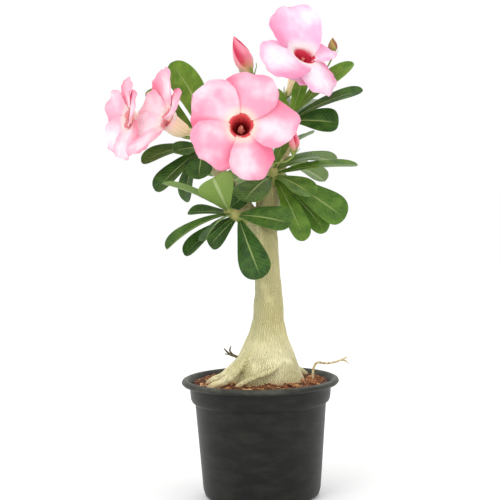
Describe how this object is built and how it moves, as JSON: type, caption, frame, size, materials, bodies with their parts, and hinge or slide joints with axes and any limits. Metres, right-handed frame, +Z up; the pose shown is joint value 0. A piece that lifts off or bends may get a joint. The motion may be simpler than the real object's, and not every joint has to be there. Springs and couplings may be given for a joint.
{
  "type": "potted desert rose plant",
  "caption": "Desert rose adenium with a swollen forked trunk, leaf rosettes and pink trumpet blooms, growing in a black nursery pot of coir mix.",
  "frame": {"origin": "centre of the pot's flat base, on the surface that it stands on", "axes": "+Z up the plant, -Y towards the plant's front, where the largest bloom faces, +X to its right as seen from the front"},
  "size_m": [0.2175, 0.1689, 0.4106],
  "materials": {
    "pot": "semi-gloss black injection-moulded plastic",
    "soil": "loose reddish-brown coir chips and fibre",
    "bark": "smooth pale olive bark with fine wrinkles",
    "twig": "dry rootlet",
    "leaf": "glossy dark green with a pale midrib",
    "petal": "soft satin, pink with a cream middle and a dark red throat",
    "calyx": "soft green",
    "anther": "dull pinkish"
  },
  "bodies": {
    "root": {"pot": "pot", "soil": "soil", "trunk": "bark", "dry_root": "twig", "leaves_back": "leaf", "leaves_crest": "leaf", "leaves_left": "leaf", "leaves_low": "leaf", "leaves_middle": "leaf", "leaves_top": "leaf", "bloom_front_anthers": "anther", "bloom_front_calyx": "calyx", "bloom_front_corolla": "petal", "bloom_left_inner_anthers": "anther", "bloom_left_inner_calyx": "calyx", "bloom_left_inner_corolla": "petal", "bloom_left_outer_anthers": "anther", "bloom_left_outer_calyx": "calyx", "bloom_left_outer_corolla": "petal", "bloom_top_anthers": "anther", "bloom_top_calyx": "calyx", "bloom_top_corolla": "petal", "bud_hidden": "petal", "bud_hidden_calyx": "calyx", "bud_large": "petal", "bud_large_calyx": "calyx", "bud_small": "petal", "bud_small_calyx": "calyx"}
  },
  "joints": []
}
